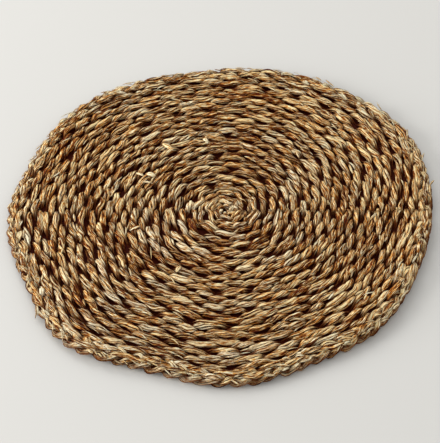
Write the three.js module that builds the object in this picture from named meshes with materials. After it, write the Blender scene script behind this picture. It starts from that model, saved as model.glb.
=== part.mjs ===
// Round placemat of woven seagrass: rows of weft worked round and round over hidden spokes,
// finished with a plaited border. Millimetres, +Z up, underside on Z = 0, origin under the middle.
import * as THREE from 'three';
import { mergeVertices } from 'three/addons/utils/BufferGeometryUtils.js';

// Driving dimensions
const MAT_RADIUS = 190;
const BORDER_WIDTH = 23;
const ROW_COUNT = 18.5; // rows from the middle of the start to the border
const CREST_HEIGHT = 11.2; // top of a row
const GROOVE_HEIGHT = 7.6; // between two rows
const PLAITS = 54; // lumps of the border round the mat
const FLAT_RADIUS = 132; // the underside lies flat on the table as far as this
const START_OFFSET = { x: 4, y: 2 }; // the start isn't quite in the middle

const ROWS_RADIUS = MAT_RADIUS - BORDER_WIDTH;
const ROW_PITCH = ROWS_RADIUS / ROW_COUNT;

// The outline is a hand-made circle: slow waves on its radius
const OUTLINE_WAVES = [
  { lobes: 2, size: 4.3, turn: 48 },
  { lobes: 3, size: 2.0, turn: 31 },
  { lobes: 4, size: 2.4, turn: 41 },
  { lobes: 7, size: 1.8, turn: 22 },
  { lobes: 8, size: 1.4, turn: 1 },
  { lobes: 9, size: 1.0, turn: -10 },
];

// Where the rim stands a little off the table
const RIM_LIFTS = [
  { height: 3.5, turn: -10, spread: 40 },
  { height: 2.0, turn: 238, spread: 22 },
];

// Rows get more segments as they grow
const ROW_SEGMENTS = [
  { upTo: 9, segments: 12 },
  { upTo: 45, segments: 36 },
  { upTo: 90, segments: 54 },
  { upTo: MAT_RADIUS, segments: 2 * PLAITS },
];
const BORDER_SEGMENTS = 4 * PLAITS;

// The border's section, from beside the last row over the top and down to its foot. "out" is a
// share of the border's width, "lump" how far the plait swells, "lean" its shift as a share of a lump.
const BORDER_SECTION = [
  { out: 0.2, height: 11.2, lump: 0.9, lean: 0 },
  { out: 0.46, height: 10.9, lump: 0.4, lean: 0.3 },
  { out: 0.74, height: 11.3, lump: 0.9, lean: 0.5 },
  { out: 0.94, height: 8.8, lump: 1.1, lean: 0.6 },
  { out: 1.0, height: 5.4, lump: 1.2, lean: 0.6 },
  { out: 0.94, height: 1.9, lump: 0.9, lean: 0.6 },
  { out: 0.84, height: 0, lump: 0, lean: 0 },
];

// The underside's rings, from the foot of the border to the flat middle
const UNDERSIDE = [
  { radius: 160, segments: 54 },
  { radius: FLAT_RADIUS, segments: 54 },
];

const radians = THREE.MathUtils.degToRad;

function outlineWave(angle) {
  return OUTLINE_WAVES.reduce(
    (sum, wave) => sum + wave.size * Math.cos(wave.lobes * (angle - radians(wave.turn))),
    0,
  );
}

function rimLift(radius, angle) {
  const reach = THREE.MathUtils.smoothstep(radius, FLAT_RADIUS, MAT_RADIUS);
  return RIM_LIFTS.reduce((sum, lift) => {
    const away = Math.cos(angle - radians(lift.turn)) - 1;
    const width = 1 - Math.cos(radians(lift.spread));
    return sum + lift.height * reach * Math.exp(away / width);
  }, 0);
}

// A point of the mat at a nominal radius: towards the start the waves fade and the offset grows
function matPoint(radius, angle, height) {
  const share = radius / MAT_RADIUS;
  const wavyRadius = radius + outlineWave(angle) * share * share;
  return new THREE.Vector3(
    wavyRadius * Math.cos(angle) + START_OFFSET.x * (1 - share),
    wavyRadius * Math.sin(angle) + START_OFFSET.y * (1 - share),
    height + rimLift(radius, angle),
  );
}

function ring(segments, pointAt) {
  return Array.from({ length: segments }, (_, i) => pointAt((2 * Math.PI * i) / segments));
}

// Crests and grooves of the rows, outward from the start
function rowRings() {
  const rings = [];
  for (let half = 1; half <= 2 * ROW_COUNT; half += 1) {
    const radius = (half * ROW_PITCH) / 2;
    const height = half % 2 === 0 ? CREST_HEIGHT : GROOVE_HEIGHT;
    const { segments } = ROW_SEGMENTS.find((zone) => radius < zone.upTo);
    rings.push(ring(segments, (angle) => matPoint(radius, angle, height)));
  }
  return rings;
}

// The plait swells in lumps that lean across it, on top near the rows and outward at the edge
function borderRings() {
  return BORDER_SECTION.map(({ out, height, lump, lean }) =>
    ring(BORDER_SEGMENTS, (angle) => {
      const swell = lump * Math.cos(PLAITS * angle + 2 * Math.PI * lean);
      const radius = ROWS_RADIUS + BORDER_WIDTH * out + swell * out;
      return matPoint(radius, angle, height + swell * (1 - out));
    }),
  );
}

function undersideRings() {
  return UNDERSIDE.map(({ radius, segments }) =>
    ring(segments, (angle) => matPoint(radius, angle, 0)),
  );
}

// Triangles between two rings, stepping along whichever ring lags behind in angle
function bridge(inner, outer, triangles) {
  let i = 0;
  let o = 0;
  while (i < inner.length || o < outer.length) {
    const here = inner[i % inner.length];
    const there = outer[o % outer.length];
    if ((i + 1) / inner.length < (o + 1) / outer.length) {
      i += 1;
      triangles.push(here, there, inner[i % inner.length]);
    } else {
      o += 1;
      triangles.push(here, there, outer[o % outer.length]);
    }
  }
}

function matGeometry() {
  const rings = [...rowRings(), ...borderRings(), ...undersideRings()];
  const first = rings[0];
  const last = rings[rings.length - 1];
  const start = matPoint(0, 0, CREST_HEIGHT);
  const below = matPoint(0, 0, 0);
  const triangles = [];
  first.forEach((point, i) => triangles.push(start, point, first[(i + 1) % first.length]));
  for (let k = 1; k < rings.length; k += 1) {
    bridge(rings[k - 1], rings[k], triangles);
  }
  last.forEach((point, i) => triangles.push(point, below, last[(i + 1) % last.length]));

  const geometry = mergeVertices(new THREE.BufferGeometry().setFromPoints(triangles));
  geometry.computeBoundingBox();
  const middle = geometry.boundingBox.getCenter(new THREE.Vector3());
  geometry.translate(-middle.x, -middle.y, 0);
  geometry.computeVertexNormals();
  return geometry;
}

const seagrass = new THREE.MeshStandardMaterial({ color: 0x8f6f49, roughness: 0.78, metalness: 0 });

const placemat = new THREE.Group();
const mat = new THREE.Mesh(matGeometry(), seagrass);
mat.name = 'mat';
placemat.add(mat);

export default placemat;
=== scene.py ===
# Seagrass placemat: rows of two strands woven over hidden spokes, finished with a plaited border.
# Sizes in the dictionaries are millimetres and degrees; the scene itself is in metres.
import math

import bpy
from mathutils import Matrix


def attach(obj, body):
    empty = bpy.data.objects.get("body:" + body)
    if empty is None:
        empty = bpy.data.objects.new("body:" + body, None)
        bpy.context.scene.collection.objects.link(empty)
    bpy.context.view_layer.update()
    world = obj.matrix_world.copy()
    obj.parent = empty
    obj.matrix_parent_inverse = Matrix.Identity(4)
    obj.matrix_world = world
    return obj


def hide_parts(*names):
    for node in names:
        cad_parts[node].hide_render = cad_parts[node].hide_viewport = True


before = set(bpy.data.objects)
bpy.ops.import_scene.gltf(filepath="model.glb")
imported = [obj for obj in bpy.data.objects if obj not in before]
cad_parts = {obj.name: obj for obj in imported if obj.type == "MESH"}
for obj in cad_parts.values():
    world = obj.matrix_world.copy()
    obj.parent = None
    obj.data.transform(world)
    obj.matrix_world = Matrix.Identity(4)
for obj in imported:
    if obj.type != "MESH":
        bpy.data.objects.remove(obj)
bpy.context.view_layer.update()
mm = 0.001
scene = bpy.context.scene


# the camera, as the photograph was taken

shot = {
    "distance": 1900,
    "elevation": 47.3,
    "lens": 175.7,
    "sensor": 36,
    "shiftX": -0.0039,
    "shiftY": -0.0068,
    "aimX": 1.46,  # the middle of the outline before its waves
    "aimY": 3.32,
    "farthest": 20000,
}


def makeCamera():
    lens = bpy.data.cameras.new("photoCamera")
    lens.lens = shot["lens"]
    lens.sensor_width = shot["sensor"]
    lens.sensor_fit = "HORIZONTAL"
    lens.shift_x = shot["shiftX"]
    lens.shift_y = shot["shiftY"]
    lens.clip_end = shot["farthest"] * mm
    camera = bpy.data.objects.new("photoCamera", lens)
    tilt = math.radians(shot["elevation"])
    away = shot["distance"] * mm
    camera.location = (
        shot["aimX"] * mm, shot["aimY"] * mm - away * math.cos(tilt), away * math.sin(tilt)
    )
    camera.rotation_euler = (math.pi / 2 - tilt, 0, 0)
    scene.collection.objects.link(camera)
    scene.camera = camera


makeCamera()


# node trees as Python expressions

class Wire:  # an output socket, with the operators that add Math nodes to its tree
    def __init__(self, bench, socket):
        self.bench = bench
        self.socket = socket

    def __add__(self, other):
        return self.bench.maths("ADD", self, other)

    def __radd__(self, other):
        return self.bench.maths("ADD", other, self)

    def __sub__(self, other):
        return self.bench.maths("SUBTRACT", self, other)

    def __rsub__(self, other):
        return self.bench.maths("SUBTRACT", other, self)

    def __mul__(self, other):
        return self.bench.maths("MULTIPLY", self, other)

    def __rmul__(self, other):
        return self.bench.maths("MULTIPLY", other, self)

    def __truediv__(self, other):
        return self.bench.maths("DIVIDE", self, other)

    def __rtruediv__(self, other):
        return self.bench.maths("DIVIDE", other, self)

    def __pow__(self, other):
        return self.bench.maths("POWER", self, other)

    def __mod__(self, other):
        return self.bench.maths("FLOORED_MODULO", self, other)

    def output(self, identifier):  # another output of the same node
        found = [s for s in self.socket.node.outputs if s.identifier == identifier]
        return Wire(self.bench, found[0])


class Bench:  # puts nodes in one tree
    def __init__(self, tree):
        self.tree = tree

    def add(self, kind, settings, plugs, out=0):
        node = self.tree.nodes.new(kind)
        for key, value in settings.items():
            if key == "stops":
                self.setStops(node.color_ramp, value)
            else:
                setattr(node, key, value)
        for key, value in plugs.items():
            if isinstance(key, int):
                socket = node.inputs[key]
            else:
                socket = [s for s in node.inputs if s.identifier == key][0]
            if isinstance(value, Wire):
                self.tree.links.new(value.socket, socket)
            else:
                socket.default_value = value
        first = Wire(self, node.outputs[0])
        return first if out == 0 else first.output(out)

    def setStops(self, ramp, stops):
        while len(ramp.elements) < len(stops):
            ramp.elements.new(1)
        for element, (place, colour) in zip(ramp.elements, stops):
            element.position = place
            element.color = colour

    def maths(self, operation, *values):
        return self.add("ShaderNodeMath", {"operation": operation}, dict(enumerate(values)))

    def vector(self, x, y, z):
        return self.add("ShaderNodeCombineXYZ", {}, {"X": x, "Y": y, "Z": z})

    def onRing(self, angle, radius, z):  # the point of a circle, as a place for noise
        return self.vector(self.maths("COSINE", angle) * radius, self.maths("SINE", angle) * radius, z)

    def between(self, value, low, high, toLow=0.0, toHigh=1.0, kind="LINEAR"):
        plugs = {"Value": value, "From Min": low, "From Max": high, "To Min": toLow, "To Max": toHigh}
        return self.add("ShaderNodeMapRange", {"interpolation_type": kind}, plugs)

    def noise(self, place, scale, detail=1.0):
        plugs = {"Vector": place, "Scale": scale, "Detail": detail}
        return self.add("ShaderNodeTexNoise", {"noise_dimensions": "3D"}, plugs)

    def chance(self, low, high, number, seed):  # one random number for each stitch number
        plugs = {"Min_001": low, "Max_001": high, "ID": number, "Seed": seed}
        return self.add("FunctionNodeRandomValue", {"data_type": "FLOAT"}, plugs, "Value_001")

    def spread(self, most, number, seed):
        return self.chance(-most, most, number, seed)


def startTree(name, sizes):
    # a geometry tree with named inputs; the numbers in sizes are their starting values
    tree = bpy.data.node_groups.new(name, "GeometryNodeTree")
    tree.interface.new_socket("Geometry", in_out="OUTPUT", socket_type="NodeSocketGeometry")
    for label, value in sizes.items():
        kind = "NodeSocketInt" if isinstance(value, int) else "NodeSocketFloat"
        tree.interface.new_socket(label, in_out="INPUT", socket_type=kind).default_value = value
    tree.interface.new_socket("Material", in_out="INPUT", socket_type="NodeSocketMaterial")
    bench = Bench(tree)
    entry = tree.nodes.new("NodeGroupInput")
    named = {s.name: Wire(bench, s) for s in entry.outputs if s.name}
    return bench, named


def endTree(bench, geometry, material):
    real = bench.add("GeometryNodeRealizeInstances", {}, {0: geometry})
    smooth = bench.add("GeometryNodeSetShadeSmooth", {}, {"Geometry": real})
    dyed = bench.add("GeometryNodeSetMaterial", {}, {"Geometry": smooth, "Material": material})
    finish = bench.tree.nodes.new("NodeGroupOutput")
    bench.tree.links.new(dyed.socket, finish.inputs[0])


def grow(name, tree, sizes, material):
    # runs a tree and keeps its result as a plain mesh
    piece = bpy.data.objects.new(name, bpy.data.meshes.new(name))
    scene.collection.objects.link(piece)
    shape = piece.modifiers.new("shape", "NODES")
    shape.node_group = tree
    for item in tree.interface.items_tree:
        if item.in_out == "INPUT":
            shape[item.identifier] = material if item.name == "Material" else sizes[item.name]
    grown = bpy.context.evaluated_depsgraph_get()
    mesh = bpy.data.meshes.new_from_object(
        piece.evaluated_get(grown), preserve_all_data_layers=True, depsgraph=grown
    )
    mesh.name = name
    piece.modifiers.clear()
    piece.data = mesh
    print(name, len(mesh.polygons), "faces")
    return piece


# the mat's shape, as in the solid: a hand-made circle that lies nearly flat

matShape = {
    "radius": 190,
    "borderWidth": 23,
    "rows": 18.5,
    "flatRadius": 132,
    "startX": 4,  # the start isn't quite in the middle
    "startY": 2,
    "middleX": -1.46,  # of the waved outline's box
    "middleY": -3.32,
}
outlineWaves = [
    {"lobes": 2, "size": 4.3, "turn": 48},
    {"lobes": 3, "size": 2.0, "turn": 31},
    {"lobes": 4, "size": 2.4, "turn": 41},
    {"lobes": 7, "size": 1.8, "turn": 22},
    {"lobes": 8, "size": 1.4, "turn": 1},
    {"lobes": 9, "size": 1.0, "turn": -10},
]
rimLifts = [
    {"height": 3.5, "turn": -10, "spread": 40},
    {"height": 2.0, "turn": 238, "spread": 22},
]
rowPitch = (matShape["radius"] - matShape["borderWidth"]) / matShape["rows"]


def placeOnMat(bench, radius, angle, height):
    # radius and height in metres, angle in radians: the point of the mat there, and its lift
    share = radius / (matShape["radius"] * mm)
    wave = 0.0
    for row in outlineWaves:
        turned = (angle - math.radians(row["turn"])) * row["lobes"]
        wave = bench.maths("COSINE", turned) * (row["size"] * mm) + wave
    reach = bench.between(
        radius, matShape["flatRadius"] * mm, matShape["radius"] * mm, kind="SMOOTHSTEP"
    )
    lift = 0.0
    for row in rimLifts:
        away = bench.maths("COSINE", angle - math.radians(row["turn"])) - 1
        fade = bench.maths("EXPONENT", away * (1 / (1 - math.cos(math.radians(row["spread"])))))
        lift = fade * (row["height"] * mm) + lift
    lift = lift * reach
    wavy = radius + wave * share * share
    x = wavy * bench.maths("COSINE", angle) + (1 - share) * (matShape["startX"] * mm)
    y = wavy * bench.maths("SINE", angle) + (1 - share) * (matShape["startY"] * mm)
    place = bench.vector(x - matShape["middleX"] * mm, y - matShape["middleY"] * mm, height + lift)
    return place, lift


# where the grass is riper, greyer or darker than elsewhere

colourPatches = [
    {"x": 148, "y": -10, "spread": 60, "ripe": 0.20, "grey": -0.3, "dark": 0.03},
    {"x": 130, "y": 88, "spread": 50, "ripe": 0.16, "grey": -0.2, "dark": 0.0},
    {"x": 98, "y": -105, "spread": 55, "ripe": 0.16, "grey": -0.2, "dark": 0.0},
    {"x": 4, "y": -150, "spread": 40, "ripe": 0.08, "grey": 0.0, "dark": 0.0},
    {"x": 17, "y": 145, "spread": 60, "ripe": 0.08, "grey": -0.2, "dark": -0.03},
    {"x": -137, "y": 89, "spread": 45, "ripe": 0.16, "grey": 0.0, "dark": 0.12},
    {"x": -64, "y": -47, "spread": 50, "ripe": -0.06, "grey": 0.27, "dark": 0.10},
    {"x": -100, "y": -96, "spread": 40, "ripe": -0.10, "grey": 0.25, "dark": 0.06},
    {"x": 20, "y": 15, "spread": 60, "ripe": 0.0, "grey": 0.27, "dark": 0.04},
    {"x": 8, "y": 12, "spread": 13, "ripe": -0.1, "grey": 0.1, "dark": -0.35},
    {"x": 17, "y": -12, "spread": 13, "ripe": 0.0, "grey": 0.3, "dark": 0.35},
    {"x": -12, "y": 16, "spread": 16, "ripe": 0.1, "grey": -0.1, "dark": 0.15},
    {"x": -125, "y": 42, "spread": 62, "ripe": 0.12, "grey": -0.2, "dark": 0.24},
    {"x": 10, "y": 38, "spread": 40, "ripe": 0.04, "grey": -0.15, "dark": 0.20},
    {"x": 30, "y": 175, "spread": 42, "ripe": 0.10, "grey": -0.15, "dark": 0.22},
    {"x": 178, "y": 5, "spread": 50, "ripe": 0.0, "grey": -0.1, "dark": 0.18},
    {"x": -120, "y": -55, "spread": 40, "ripe": 0.05, "grey": 0.0, "dark": 0.18},
    {"x": 4, "y": -172, "spread": 48, "ripe": 0.0, "grey": 0.05, "dark": -0.24},
]


def patches(bench, angle, radius, key):
    # how much riper, greyer or darker the grass is at a place of the mat
    x = bench.maths("COSINE", angle) * radius
    y = bench.maths("SINE", angle) * radius
    total = 0.0
    for patch in colourPatches:
        alongX = x - patch["x"] * mm
        alongY = y - patch["y"] * mm
        away = (alongX * alongX + alongY * alongY) * (-1 / (patch["spread"] * mm) ** 2)
        total = bench.maths("EXPONENT", away) * patch[key] + total
    return total


# one strand: blades laid side by side along curves, in any of the trees below

def bladeProfile(bench, sides, flatness, fold):
    # a flat blade, folded in along its outer face; X is outward and Y across
    circle = bench.add("GeometryNodeCurvePrimitiveCircle", {}, {"Resolution": sides, "Radius": 1.0})
    around = bench.add("GeometryNodeInputPosition", {}, {})
    settings = {"data_type": "FLOAT_VECTOR", "domain": "POINT"}
    plugs = {0: circle, "Name": "around", "Value": around}
    marked = bench.add("GeometryNodeStoreNamedAttribute", settings, plugs)
    side = bench.add("ShaderNodeSeparateXYZ", {}, {"Vector": around})
    inward = bench.maths("GREATER_THAN", side, 0.99) * fold
    flat = bench.vector(side * flatness * (1 - inward), side.output("Y"), 0.0)
    return bench.add("GeometryNodeSetPosition", {}, {"Geometry": marked, "Position": flat})


def keep(bench, geometry, name, value, domain="POINT"):
    settings = {"data_type": "FLOAT", "domain": domain}
    plugs = {0: geometry, "Name": name, "Value": value}
    return bench.add("GeometryNodeStoreNamedAttribute", settings, plugs)


def kept(bench, name):
    return bench.add("GeometryNodeInputNamedAttribute", {"data_type": "FLOAT"}, {"Name": name})


nudge = 0.001  # keeps a whole number from being rounded down


def ringsOfStrands(bench, rings, points, copies):
    # closed curves of a number of points, each copied once for every blade in its strands
    spots = bench.add("GeometryNodeMeshLine", {"mode": "OFFSET"}, {"Count": rings, "Offset": (0, 0, 0)})
    circle = bench.add("GeometryNodeCurvePrimitiveCircle", {}, {"Resolution": points, "Radius": 1.0})
    placed = bench.add("GeometryNodeInstanceOnPoints", {}, {"Points": spots, "Instance": circle})
    curves = bench.add("GeometryNodeRealizeInstances", {}, {0: placed})
    order = bench.add("GeometryNodeInputIndex", {}, {})
    numbered = keep(bench, curves, "ring", order, "CURVE")
    doubled = bench.add(
        "GeometryNodeDuplicateElements", {"domain": "SPLINE"}, {"Geometry": numbered, "Amount": copies}
    )
    return keep(bench, doubled, "copy", doubled.output("Duplicate Index"), "CURVE")


def sweepBlades(bench, curves, place, facing, thickness, profile):
    moved = bench.add("GeometryNodeSetPosition", {}, {"Geometry": curves, "Position": place})
    faced = bench.add("GeometryNodeSetCurveNormal", {"mode": "FREE"}, {0: moved, "Normal": facing})
    length = bench.add("GeometryNodeSplineParameter", {}, {}, "Length")
    measured = keep(bench, faced, "along", length)
    plugs = {"Curve": measured, "Profile Curve": profile, "Scale": thickness}
    return bench.add("GeometryNodeCurveToMesh", {}, plugs)


# the rows: two strands side by side, each over every other spoke, one up where the other is down

rows = {
    "crest": 8.7,  # middle of a strand on top of a spoke
    "low": 2.4,  # under a spoke
    "shadeCentre": 4.7,  # where the painted shade is darkest, as a height
    "apart": 4.5,  # between the two strands of a row
    "strandWidth": 7.8,
    "strandThickness": 4.4,
    "blade": 1.65,  # half the width of one blade
    "flatness": 0.5,
    "fold": 0.75,  # how deep a blade is folded in along its middle
    "blades": 5,
    "steps": 6,
    "sides": 6,
    "uneven": 1.2,
    "fullest": (0.72, 1.2),  # strands differ in width
    "lift": 0.6,  # in height
    "aside": 1.2,  # in place
    "rolled": 0.9,  # in radians
    "held": 0.6,  # in how long they stay up
    "slimmest": (0.55, 1.15),  # blades differ in width
    "tilted": 0.6,  # in radians
    "twisted": 0.5,
    "strayAcross": 1.8,
    "strayUp": 1.0,
    "drift": 0.023,  # how far the spokes wander, as a share of their number
    "wander": 3.5,
    "shiftedStart": 0.2,
    "fillUnder": 1.3,  # a strand that dips keeps some of its blades up
    "seed": 4,
}
rowTiers = [  # closed rings with more spokes as the mat grows; hold is how long a strand stays up
    {"name": "startRows", "first": 1, "last": 3, "spokes": 6, "hold": 1.7, "lean": 4.2},
    {"name": "secondRows", "first": 4, "last": 5, "spokes": 10, "hold": 1.8, "lean": 4.0},
    {"name": "innerRows", "first": 4, "last": 5, "spokes": 18, "hold": 2.7, "lean": 1.2},
    {"name": "middleRows", "first": 6, "last": 7, "spokes": 24, "hold": 2.9, "lean": 1.0},
    {"name": "risingRows", "first": 8, "last": 10, "spokes": 36, "hold": 3.3, "lean": 0.9},
    {"name": "outerRows", "first": 11, "last": 14, "spokes": 48, "hold": 3.6, "lean": 0.9},
    {"name": "lateRows", "first": 15, "last": 17, "spokes": 58, "hold": 3.6, "lean": 1.0},
    {"name": "lastRows", "first": 18, "last": 20, "spokes": 64, "hold": 3.6, "lean": 1.1},
]
startStrands = {  # near the start both strands follow one line, so one is on top all the way round
    "mostSpokes": 12,
    "pitch": 5.6,
    "apart": 0.0,
    "width": 0.82,  # of the strands further out
    "leanSpread": 0.25,
}
pairedStrands = {"pitch": rowPitch, "apart": rows["apart"], "width": 1.0, "leanSpread": 1.0}


def buildRowTree():
    sizes = {
        "First Row": 1, "Rows": 1, "Row Pitch": 0.0, "Spokes": 6, "Blades": 1, "Steps": 1,
        "Crest": 0.0, "Low": 0.0, "Hold": 0.0, "Apart": 0.0, "Lean": 0.0, "Lean Spread": 0.0,
        "Strand Width": 0.0, "Strand Thickness": 0.0, "Blade": 0.0, "Uneven": 0.0, "Seed": 0,
    }
    bench, size = startTree("wovenRows", sizes)
    points = size["Spokes"] * size["Steps"]
    curves = ringsOfStrands(bench, size["Rows"], points, size["Blades"] * 2)
    row = kept(bench, "ring") + size["First Row"]
    copy = kept(bench, "copy")
    ply = bench.maths("FLOOR", copy / size["Blades"] + nudge)
    blade = copy - ply * size["Blades"]
    angle = (bench.add("GeometryNodeInputIndex", {}, {}) % points) / points * (2 * math.pi)
    radius = row * size["Row Pitch"] + (ply - 0.5) * size["Apart"]

    # slow noise that joins up round the ring, first on the spokes' places and then on the row's
    ringPlace = bench.onRing(angle, radius, row * 0.012)
    drift = (bench.noise(ringPlace, 24.0) - 0.5) * size["Spokes"] * rows["drift"]
    wander = bench.noise(ringPlace, 60.0) - 0.5
    shiftedStart = bench.spread(rows["shiftedStart"], row, size["Seed"] + 1)
    stitch = angle * size["Spokes"] / (2 * math.pi) + drift + shiftedStart
    phase = (stitch + ply) * math.pi
    crown = bench.maths("SINE", phase) * 0.5 + 0.5  # 1 on top of a spoke, 0 under the next
    sway = bench.maths("COSINE", phase) * -1
    pair = bench.maths("FLOOR", phase / (2 * math.pi) + 0.25) % (size["Spokes"] / 2)
    # every strand and every blade has a number of its own at each spoke that it passes over
    strandNumber = (row * 16 + ply + 8) * 128 + pair
    bladeNumber = (row * 16 + copy) * 128 + pair

    # a strand is widest on top of a spoke, and its blades lie a little askew in it
    fatter = bench.chance(*rows["fullest"], strandNumber, size["Seed"])
    taller = bench.spread(rows["lift"], strandNumber, size["Seed"] + 1) * size["Uneven"] * mm
    shifted = bench.spread(rows["aside"], strandNumber, size["Seed"] + 6) * mm
    leanSpread = bench.spread(1.0, strandNumber, size["Seed"] + 9) * size["Lean Spread"]
    slanted = (leanSpread + 0.5) * size["Lean"]
    wider = (crown * 0.6 + 0.4) * ((fatter - 1) * crown + 1)
    rolled = bench.spread(rows["rolled"], strandNumber, size["Seed"] + 5) * crown
    roll = sway * 0.45 + bench.noise(ringPlace, 30.0, 0.0) * 5 + ply * 1.7 + row * 2.4 + rolled
    seat = roll + blade * (2 * math.pi) / size["Blades"]
    across = bench.maths("COSINE", seat) * (size["Strand Width"] * 0.5 - size["Blade"]) * wider
    above = bench.maths("SINE", seat) * (size["Strand Thickness"] - size["Blade"]) * 0.5
    hold = bench.spread(rows["held"], strandNumber, size["Seed"] + 10) + size["Hold"]
    rise = (1 - (1 - crown) ** hold) * (size["Crest"] - size["Low"])
    # between two spokes a strand runs straight
    corner = math.pi / size["Spokes"]
    beyond = (stitch % 1.0 - 0.5) * corner * 2
    straight = radius * bench.maths("COSINE", corner) / bench.maths("COSINE", beyond)
    bladePlace = bench.onRing(angle, radius, row * 0.31 + copy * 0.17)
    stray = bench.add(
        "ShaderNodeSeparateXYZ", {}, {"Vector": bench.noise(bladePlace, 120.0).output("Color")}
    )
    across = across + (stray - 0.5) * (rows["strayAcross"] * mm)
    above = above + (stray.output("Y") - 0.5) * (rows["strayUp"] * mm)
    outward = straight + (slanted * sway + shifted) * crown + across + wander * (rows["wander"] * mm)
    upper = bench.maths("MAXIMUM", bench.maths("SINE", seat), 0.0)
    raised = upper * (1 - crown) * (rows["fillUnder"] * mm)
    height = size["Low"] + rise + taller * crown + above + raised
    place, rim = placeOnMat(bench, outward, angle, height)
    tilt = bench.spread(rows["tilted"], bladeNumber, size["Seed"] + 7) * crown
    tilt = bench.spread(rows["twisted"], bladeNumber, size["Seed"] + 8) * sway * crown + tilt
    tilt = bench.maths("COSINE", seat) * 0.5 + tilt
    tipped = bench.maths("SINE", tilt)
    facing = bench.onRing(angle, tipped, bench.maths("COSINE", tilt))
    slim = bench.chance(*rows["slimmest"], bladeNumber, size["Seed"] + 2) * crown + (1 - crown) * 0.9
    thickness = size["Blade"] * slim * (crown * 0.5 + 0.5)

    tone = bench.chance(0.0, 1.0, bladeNumber, size["Seed"] + 3)
    dye = bench.chance(0.0, 1.0, strandNumber, size["Seed"] + 4)
    hue = bench.noise(bench.onRing(angle, radius, row * 0.05 + ply * 0.21), 11.0)
    curves = keep(bench, curves, "tone", tone)
    curves = keep(bench, curves, "dye", dye - patches(bench, angle, radius, "dark"))
    curves = keep(bench, curves, "hue", hue + patches(bench, angle, radius, "ripe"))
    curves = keep(bench, curves, "grey", patches(bench, angle, radius, "grey"))
    curves = keep(bench, curves, "bare", bench.maths("SINE", seat) * crown)
    curves = keep(bench, curves, "flank", bench.maths("COSINE", seat))
    curves = keep(bench, curves, "crown", crown)
    curves = keep(bench, curves, "rim", rim)
    profile = bladeProfile(bench, rows["sides"], rows["flatness"], rows["fold"])
    mesh = sweepBlades(bench, curves, place, facing, thickness, profile)
    endTree(bench, mesh, size["Material"])
    return bench.tree


def makeRows(material):
    tree = buildRowTree()
    pieces = []
    for tier in rowTiers:
        strands = pairedStrands if tier["spokes"] > startStrands["mostSpokes"] else startStrands
        sizes = {
            "First Row": tier["first"], "Rows": tier["last"] - tier["first"] + 1,
            "Row Pitch": strands["pitch"] * mm, "Spokes": tier["spokes"],
            "Blades": rows["blades"], "Steps": rows["steps"],
            "Crest": rows["crest"] * mm, "Low": rows["low"] * mm,
            "Hold": tier["hold"], "Apart": strands["apart"] * mm,
            "Lean": tier["lean"] * mm, "Lean Spread": strands["leanSpread"],
            "Strand Width": rows["strandWidth"] * mm * strands["width"],
            "Strand Thickness": rows["strandThickness"] * mm, "Blade": rows["blade"] * mm,
            "Uneven": rows["uneven"], "Seed": rows["seed"],
        }
        pieces.append(grow(tier["name"], tree, sizes, material))
    return pieces


# the plaited border: three flat strands, over and under

border = {
    "radius": 182.0,  # middle of the plait
    "periods": 27,
    "steps": 18,
    "halfWidth": 4.5,  # how far the middle of a strand sways
    "middle": 5.4,
    "rise": 2.3,
    "fall": 0.22,  # how much lower it gets outward
    "strandWidth": 6.8,
    "strandThickness": 4.5,
    "blade": 1.3,
    "flatness": 0.5,
    "fold": 0.75,
    "blades": 6,
    "sides": 7,
    "drift": 0.35,  # how far the crossings wander, as a share of a period
    "wander": 2.4,
    "fullest": (0.88, 1.12),
    "slimmest": (0.75, 1.12),
    "strayAcross": 2.4,
    "strayUp": 1.4,
    "seed": 31,
}


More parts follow.
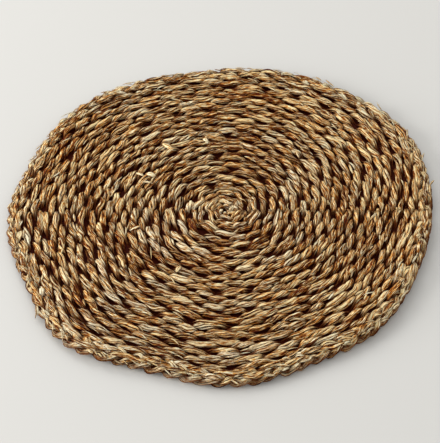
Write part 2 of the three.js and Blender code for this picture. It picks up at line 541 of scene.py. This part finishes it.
def buildBorderTree():
    sizes = {
        "Radius": 0.0, "Periods": 1, "Steps": 1, "Blades": 1, "Half Width": 0.0, "Middle": 0.0,
        "Rise": 0.0, "Strand Width": 0.0, "Strand Thickness": 0.0, "Blade": 0.0, "Seed": 0,
    }
    bench, size = startTree("plaitedBorder", sizes)
    points = size["Periods"] * size["Steps"]
    curves = ringsOfStrands(bench, 1, points, size["Blades"] * 3)
    copy = kept(bench, "copy")
    strand = bench.maths("FLOOR", copy / size["Blades"] + nudge)
    blade = copy - strand * size["Blades"]
    angle = (bench.add("GeometryNodeInputIndex", {}, {}) % points) / points * (2 * math.pi)
    ringPlace = bench.onRing(angle, size["Radius"], strand * 0.05)
    drift = (bench.noise(ringPlace, 24.0) - 0.5) * border["drift"]
    wander = bench.noise(ringPlace, 45.0) - 0.5
    turn = angle * size["Periods"] / (2 * math.pi) + drift + strand / 3
    phase = turn * (2 * math.pi)
    swing = bench.maths("SINE", phase)
    over = bench.maths("SINE", phase * 2) * -1
    full = bench.maths("ABSOLUTE", over)
    number = bench.maths("FLOOR", turn * 2) % (size["Periods"] * 2)
    strandNumber = (strand + 8) * 256 + number
    bladeNumber = (copy + 16) * 256 + number

    # blades lie side by side across the strand, square to its slanting way
    slope = bench.maths("COSINE", phase) * size["Half Width"] * size["Periods"] / size["Radius"]
    slant = bench.maths("ARCTANGENT", slope)
    roll = phase * 0.12 + bench.noise(ringPlace, 26.0, 0.0) * 8 + strand * 2.1
    seat = roll + blade * (2 * math.pi) / size["Blades"]
    fatter = bench.chance(*border["fullest"], strandNumber, size["Seed"]) - 1
    wider = (full * 0.3 + 0.7) * (fatter * full + 1)
    across = bench.maths("COSINE", seat) * (size["Strand Width"] * 0.5 - size["Blade"]) * wider
    above = bench.maths("SINE", seat) * (size["Strand Thickness"] * 0.5 - size["Blade"] * 0.5)
    bladePlace = bench.onRing(angle, size["Radius"], copy * 0.17)
    stray = bench.add(
        "ShaderNodeSeparateXYZ", {}, {"Vector": bench.noise(bladePlace, 90.0).output("Color")}
    )
    across = across + (stray - 0.5) * (border["strayAcross"] * mm)
    above = above + (stray.output("Y") - 0.5) * (border["strayUp"] * mm)
    outward = (
        size["Radius"] + swing * size["Half Width"] + wander * (border["wander"] * mm)
        + across * bench.maths("COSINE", slant)
    )
    onward = angle - across * bench.maths("SINE", slant) / size["Radius"]
    fall = (outward - size["Radius"]) * border["fall"]
    height = size["Middle"] + over * size["Rise"] + above - fall
    place, rim = placeOnMat(bench, outward, onward, height)
    slim = bench.chance(*border["slimmest"], bladeNumber, size["Seed"] + 2) * full + (1 - full)
    thickness = size["Blade"] * slim * (full * 0.2 + 0.8)
    curves = keep(bench, curves, "tone", bench.chance(0.0, 1.0, bladeNumber, size["Seed"] + 3))
    curves = keep(bench, curves, "dye", bench.chance(0.0, 1.0, strandNumber, size["Seed"] + 4))
    curves = keep(bench, curves, "rim", rim)
    hue = bench.noise(ringPlace, 11.0) + patches(bench, angle, size["Radius"], "ripe")
    curves = keep(bench, curves, "hue", hue)
    curves = keep(bench, curves, "grey", patches(bench, angle, size["Radius"], "grey"))
    curves = keep(bench, curves, "bare", bench.maths("SINE", seat) * full)
    curves = keep(bench, curves, "flank", bench.maths("COSINE", seat))
    curves = keep(bench, curves, "crown", over * 0.5 + 0.5)
    curves = keep(bench, curves, "pale", 1.0)
    profile = bladeProfile(bench, border["sides"], border["flatness"], border["fold"])
    mesh = sweepBlades(bench, curves, place, bench.vector(0.0, 0.0, 1.0), thickness, profile)
    endTree(bench, mesh, size["Material"])
    return bench.tree


def makeBorder(material):
    sizes = {
        "Radius": border["radius"] * mm, "Periods": border["periods"], "Steps": border["steps"],
        "Blades": border["blades"], "Half Width": border["halfWidth"] * mm,
        "Middle": border["middle"] * mm, "Rise": border["rise"] * mm,
        "Strand Width": border["strandWidth"] * mm, "Strand Thickness": border["strandThickness"] * mm,
        "Blade": border["blade"] * mm, "Seed": border["seed"],
    }
    return grow("plaitedBorder", buildBorderTree(), sizes, material)


# loose ends: fine tips that stand off the edge, and a few that lie on the rows

looseEnds = {
    "number": 560,
    "atEdge": 0.6,  # the share of them at the edge
    "innermost": 30,
    "edge": 181,
    "outermost": 187.5,
    "long": 12,
    "short": 5,
    "wide": 1.3,
    "thin": 0.35,
    "leastTurn": -10,  # how far they turn from the way of the rows
    "mostTurn": 26,
    "from": -180,
    "to": 180,
    "steps": 5,
    "sides": 5,
    "lowest": 2.5,  # at the edge
    "highest": 9.5,
    "onTop": 9.6,
    "arch": 0.9,
    "seed": 77,
}
spokeTips = {  # ends of spokes that were put in part of the way out
    "number": 7,
    "atEdge": 0.0,
    "innermost": 66,
    "edge": 88,
    "outermost": 88,
    "long": 11,
    "short": 7,
    "wide": 3.4,
    "leastTurn": 72,
    "mostTurn": 100,
    "from": 70,
    "to": 300,
    "seed": 12,
}


def buildEndTree():
    sizes = {
        "Number": 1, "At Edge": 0.0, "Innermost": 0.0, "Edge": 0.0, "Outermost": 0.0, "Short": 0.0,
        "Long": 0.0, "Wide": 0.0, "Least Turn": 0.0, "Most Turn": 0.0, "From": 0.0, "To": 0.0, "Seed": 0,
    }
    bench, size = startTree("grassEnds", sizes)
    spots = bench.add(
        "GeometryNodeMeshLine", {"mode": "OFFSET"}, {"Count": size["Number"], "Offset": (0, 0, 0)}
    )
    line = bench.add("GeometryNodeCurvePrimitiveLine", {}, {})
    stepped = bench.add("GeometryNodeResampleCurve", {}, {0: line, "Count": looseEnds["steps"]})
    placed = bench.add("GeometryNodeInstanceOnPoints", {}, {"Points": spots, "Instance": stepped})
    curves = bench.add("GeometryNodeRealizeInstances", {}, {0: placed})
    order = bench.add("GeometryNodeInputIndex", {}, {})
    curves = keep(bench, curves, "ring", order, "CURVE")
    number = kept(bench, "ring")
    part = bench.add("GeometryNodeSplineParameter", {}, {})
    atEdge = bench.maths("LESS_THAN", bench.chance(0.0, 1.0, number, size["Seed"]), size["At Edge"])
    spread = bench.maths("SQRT", bench.chance(0.02, 1.0, number, size["Seed"] + 1))
    within = size["Innermost"] + (size["Edge"] - size["Innermost"]) * spread
    outer = bench.chance(size["Edge"], size["Outermost"], number, size["Seed"] + 2)
    radius = within + (outer - within) * atEdge
    start = bench.chance(size["From"], size["To"], number, size["Seed"] + 3)
    length = bench.chance(size["Short"], size["Long"], number, size["Seed"] + 4)
    turn = bench.chance(size["Least Turn"], size["Most Turn"], number, size["Seed"] + 5)
    curl = bench.chance(-0.25, 0.3, number, size["Seed"] + 6)
    reach = part * length
    angle = start + reach * bench.maths("COSINE", turn) / radius
    outward = radius + reach * bench.maths("SINE", turn) + part * part * curl * length
    edgeHeight = bench.chance(looseEnds["lowest"] * mm, looseEnds["highest"] * mm, number, size["Seed"] + 7)
    topHeight = looseEnds["onTop"] * mm + bench.maths("SINE", part * math.pi) * (looseEnds["arch"] * mm)
    settled = bench.between(outward, (looseEnds["edge"] + 3) * mm, (looseEnds["outermost"] + 4) * mm)
    height = topHeight + (edgeHeight - topHeight) * atEdge * (settled * 0.7 + 0.3)
    place, rim = placeOnMat(bench, outward, angle, height)
    thickness = size["Wide"] * bench.chance(0.35, 1.0, number, size["Seed"] + 8)
    thickness = thickness * bench.maths("SQRT", bench.maths("SINE", (part * 0.9 + 0.06) * math.pi))
    curves = keep(bench, curves, "tone", bench.chance(0.35, 1.0, number, size["Seed"] + 9))
    curves = keep(bench, curves, "dye", bench.chance(0.3, 0.9, number, size["Seed"] + 10))
    curves = keep(bench, curves, "hue", bench.chance(0.3, 0.7, number, size["Seed"] + 11))
    curves = keep(bench, curves, "rim", rim)
    curves = keep(bench, curves, "crown", 1.0)
    curves = keep(bench, curves, "pale", 1.0)
    profile = bladeProfile(bench, looseEnds["sides"], looseEnds["thin"], 0.0)
    facing = bench.onRing(angle, atEdge * 0.5, 1.0)
    mesh = sweepBlades(bench, curves, place, facing, thickness, profile)
    endTree(bench, mesh, size["Material"])
    return bench.tree


def makeEnds(name, tree, ends, material):
    sizes = {
        "Number": ends["number"], "At Edge": ends["atEdge"], "Innermost": ends["innermost"] * mm,
        "Edge": ends["edge"] * mm, "Outermost": ends["outermost"] * mm, "Short": ends["short"] * mm,
        "Long": ends["long"] * mm, "Wide": ends["wide"] * mm,
        "Least Turn": math.radians(ends["leastTurn"]), "Most Turn": math.radians(ends["mostTurn"]),
        "From": math.radians(ends["from"]), "To": math.radians(ends["to"]), "Seed": ends["seed"],
    }
    return grow(name, tree, sizes, material)


# seagrass: dry blades in straw, honey, tan and brown

def startMaterial(name):
    material = bpy.data.materials.new(name)
    material.use_nodes = True
    material.node_tree.nodes.clear()
    return material, Bench(material.node_tree)


def finishMaterial(bench, shader):
    output = bench.tree.nodes.new("ShaderNodeOutputMaterial")
    bench.tree.links.new(shader.socket, output.inputs["Surface"])


seagrassColours = {
    "straw": [
        (0.0, (0.10, 0.015, 0.001, 1)),
        (0.3, (0.35, 0.113, 0.014, 1)),
        (0.6, (0.68, 0.324, 0.064, 1)),
        (0.82, (1.0, 0.67, 0.26, 1)),
        (1.0, (1.0, 0.91, 0.62, 1)),
    ],
    "honey": [
        (0.0, (0.10, 0.012, 0.001, 1)),
        (0.3, (0.36, 0.088, 0.006, 1)),
        (0.6, (0.71, 0.264, 0.028, 1)),
        (0.82, (0.98, 0.54, 0.14, 1)),
        (1.0, (1.0, 0.82, 0.44, 1)),
    ],
    "grey": [
        (0.0, (0.10, 0.019, 0.002, 1)),
        (0.3, (0.33, 0.117, 0.026, 1)),
        (0.6, (0.62, 0.335, 0.112, 1)),
        (0.82, (0.95, 0.69, 0.35, 1)),
        (1.0, (1.0, 0.92, 0.74, 1)),
    ],
    "paintedShade": (0.24, 0.07, 0.008),  # what is left of a colour in the painted shade between the rows
}


grain = {
    "lightness": 0.11,
    "dye": 0.56,  # between strands
    "tone": 0.65,  # between blades
    "fibre": 2.3,
    "bare": 0.3,  # painted light on the blades on top of a strand, painted shade on the ones under them
    # painted shade along each blade's edges and in its fold
    "creaseShade": 0.9,
    "pale": 0.26,  # the border and the loose ends are paler, partly their own colour and partly painted light on the border's shaded side
    "fibreLength": 75,
    "bump": 0.9,
    "rough": 0.62,
    "fibreRough": 0.3,
    "sheen": 0.38,  # how much smoother the blades are outside the painted shade
    "specular": 0.1,
}


def named(bench, name, out="Fac"):
    return bench.add("ShaderNodeAttribute", {"attribute_name": name}, {}, out)


def ramp(bench, name, place):
    return bench.add("ShaderNodeValToRGB", {"stops": seagrassColours[name]}, {"Fac": place})


def mixed(bench, share, first, second):
    plugs = {"Factor_Float": share, "A_Color": first, "B_Color": second}
    return bench.add("ShaderNodeMix", {"data_type": "RGBA"}, plugs, "Result_Color")


def makeSeagrass():
    material, bench = startMaterial("seagrass")
    tone = named(bench, "tone")
    dye = named(bench, "dye")
    rim = named(bench, "rim")
    pale = named(bench, "pale")
    side = bench.add("ShaderNodeSeparateXYZ", {}, {"Vector": named(bench, "around", "Vector")})

    # fibres run along each blade, fine ones over broad ones
    fibrePlace = bench.vector(
        named(bench, "along") * grain["fibreLength"], side * 0.5 + tone * 17,
        side.output("Y") * 1.3 + dye * 11,
    )
    fibre = bench.between(bench.noise(fibrePlace, 2.0, 3.0), 0.3, 0.7)
    across = bench.maths("ABSOLUTE", side.output("Y"))
    # painted shade along each blade's edges and in its fold
    edge = bench.between(across, 0.45, 1.0, kind="SMOOTHSTEP")
    folded = bench.between(side, 0.8, 1.0)
    creaseShade = bench.maths("MAXIMUM", edge, folded * 0.6)

    lightness = dye * grain["dye"] + tone * grain["tone"] + (fibre - 0.5) * grain["fibre"]
    lightness = lightness + named(bench, "bare") * grain["bare"] - creaseShade * grain["creaseShade"]
    lightness = lightness + pale * grain["pale"] + grain["lightness"]
    hue = bench.between(named(bench, "hue"), 0.3, 0.7)
    ripe = bench.between(hue + (tone - 0.5) * 0.7 - pale * 0.25, 0.3, 0.8)
    colour = mixed(bench, ripe, ramp(bench, "straw", lightness), ramp(bench, "honey", lightness))
    weathered = bench.between(named(bench, "grey") + (dye - 0.5) * 0.8, 0.15, 1.0)
    colour = mixed(bench, weathered, colour, ramp(bench, "grey", lightness))

    # painted shade: low between the rows the grass is painted dark and reddish
    spot = bench.add("ShaderNodeTexCoord", {}, {}, "Object")
    height = bench.add("ShaderNodeSeparateXYZ", {}, {"Vector": spot}, "Z") - rim
    depth = bench.maths("ABSOLUTE", height - rows["shadeCentre"] * mm)
    unshaded = bench.between(depth, 0.2 * mm, 2.8 * mm, kind="SMOOTHSTEP")
    unshaded = bench.maths("MAXIMUM", unshaded, pale * 0.6)

    # more painted shade along each strand's sides, where it dips next to its neighbours, and near the
    # blades' edges
    lateral = bench.maths("ABSOLUTE", named(bench, "flank") + side.output("Y") * 0.67)
    flankShade = bench.between(lateral, 1.0, 1.55, kind="SMOOTHSTEP")
    above = bench.between(height, 3.6 * mm, 4.6 * mm)
    dipShade = bench.between(named(bench, "crown"), 0.5, 0.15, kind="SMOOTHSTEP") * above
    hidden = bench.maths("MAXIMUM", flankShade * 0.85, dipShade * 0.88)
    slitShade = bench.between(across, 0.6, 0.95, kind="SMOOTHSTEP")
    unshaded = unshaded * (1 - hidden) * (1 - slitShade * 0.5)
    paintedShade = bench.add(
        "ShaderNodeVectorMath", {"operation": "MULTIPLY"}, {0: colour, 1: seagrassColours["paintedShade"]}
    )
    shaded = mixed(bench, unshaded, paintedShade, colour)

    plugs = {"Strength": 1.0, "Distance": grain["bump"] * mm, "Height": fibre}
    bump = bench.add("ShaderNodeBump", {}, plugs)
    roughness = fibre * grain["fibreRough"] + grain["rough"] - unshaded * grain["sheen"]
    shader = bench.add(
        "ShaderNodeBsdfPrincipled", {},
        {
            "Base Color": shaded, "Roughness": roughness, "Normal": bump,
            "Specular IOR Level": grain["specular"],
        },
    )
    finishMaterial(bench, shader)
    return material


seagrass = makeSeagrass()
weave = makeRows(seagrass)
weave.append(makeBorder(seagrass))
grassEnds = buildEndTree()
weave.append(makeEnds("looseEnds", grassEnds, looseEnds, seagrass))
weave.append(makeEnds("spokeTips", grassEnds, spokeTips, seagrass))
print("rows, border and ends done")


# a thin closed layer stands for the hidden spokes that the rows are worked over; the painted shade at its
# height makes it dark between the rows

spokeLayer = {"radius": 180, "top": 4.8, "bottom": 3.2, "rings": 24, "segments": 108}


def matPoint(radius, angle, height):
    share = radius / matShape["radius"]
    wave = sum(
        w["size"] * math.cos(w["lobes"] * (angle - math.radians(w["turn"]))) for w in outlineWaves
    )
    low, high = matShape["flatRadius"], matShape["radius"]
    reach = min(max((radius - low) / (high - low), 0), 1)
    reach = reach * reach * (3 - 2 * reach)
    lift = 0
    for w in rimLifts:
        away = math.cos(angle - math.radians(w["turn"])) - 1
        lift += w["height"] * math.exp(away / (1 - math.cos(math.radians(w["spread"]))))
    wavy = radius + wave * share * share
    return (
        (wavy * math.cos(angle) + matShape["startX"] * (1 - share) - matShape["middleX"]) * mm,
        (wavy * math.sin(angle) + matShape["startY"] * (1 - share) - matShape["middleY"]) * mm,
        (height + lift * reach) * mm,
    )


def makeSpokeLayer(material):
    count = spokeLayer["segments"]
    rings = spokeLayer["rings"]
    ringRadii = [spokeLayer["radius"] * (k + 1) / rings for k in range(rings)]
    outline = [(r, spokeLayer["top"]) for r in ringRadii]
    outline += [(r, spokeLayer["bottom"]) for r in reversed(ringRadii)]
    points = [matPoint(0, 0, spokeLayer["top"]), matPoint(0, 0, spokeLayer["bottom"])]
    for radius, height in outline:
        points += [matPoint(radius, 2 * math.pi * i / count, height) for i in range(count)]
    faces = []
    for ring in range(len(outline) - 1):
        for i in range(count):
            a = 2 + ring * count + i
            b = 2 + ring * count + (i + 1) % count
            faces.append((b, a, a + count, b + count))
    lastRing = 2 + (len(outline) - 1) * count
    for i in range(count):
        faces.append((0, 2 + i, 2 + (i + 1) % count))
        faces.append((1, lastRing + (i + 1) % count, lastRing + i))
    mesh = bpy.data.meshes.new("spokeLayer")
    mesh.from_pydata(points, [], faces)
    mesh.materials.append(material)
    piece = bpy.data.objects.new("spokeLayer", mesh)
    scene.collection.objects.link(piece)
    return piece


core = makeSpokeLayer(seagrass)
print("spoke layer done")


# floor and light

studio = {"floor": 9000, "floorColour": (0.60, 0.59, 0.56, 1), "world": 0.81}


def makeFloor():
    material, bench = startMaterial("paleTable")
    shader = bench.add(
        "ShaderNodeBsdfPrincipled", {},
        {"Base Color": studio["floorColour"], "Roughness": 0.9, "Specular IOR Level": 0.05},
    )
    finishMaterial(bench, shader)
    half = studio["floor"] * mm / 2
    mesh = bpy.data.meshes.new("floor")
    corners = [(-half, -half, 0), (half, -half, 0), (half, half, 0), (-half, half, 0)]
    mesh.from_pydata(corners, [], [(0, 1, 2, 3)])
    mesh.materials.append(material)
    floor = bpy.data.objects.new("floor", mesh)
    scene.collection.objects.link(floor)


lights = [
    {"name": "window", "azimuth": 188, "elevation": 20, "distance": 2200, "size": 1100, "power": 42},
    {"name": "sky", "azimuth": 118, "elevation": 42, "distance": 2200, "size": 1300, "power": 14},
]


def makeLights():
    for light in lights:
        lamp = bpy.data.lights.new(light["name"], "AREA")
        lamp.energy = light["power"]
        lamp.size = light["size"] * mm
        thing = bpy.data.objects.new(light["name"], lamp)
        turn, up = math.radians(light["azimuth"]), math.radians(light["elevation"])
        away = light["distance"] * mm
        thing.location = (
            away * math.cos(up) * math.cos(turn), away * math.cos(up) * math.sin(turn), away * math.sin(up)
        )
        thing.rotation_euler = (math.pi / 2 - up, 0, turn + math.pi / 2)
        scene.collection.objects.link(thing)
    world = bpy.data.worlds.new("studio")
    world.use_nodes = True
    background = world.node_tree.nodes["Background"]
    background.inputs["Color"].default_value = (1.0, 1.0, 1.0, 1)
    background.inputs["Strength"].default_value = studio["world"]
    scene.world = world


makeFloor()
makeLights()
scene.view_settings.view_transform = "Standard"
print("floor and lights done")

for piece in [core] + weave:
    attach(piece, "root")
    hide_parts("mat")
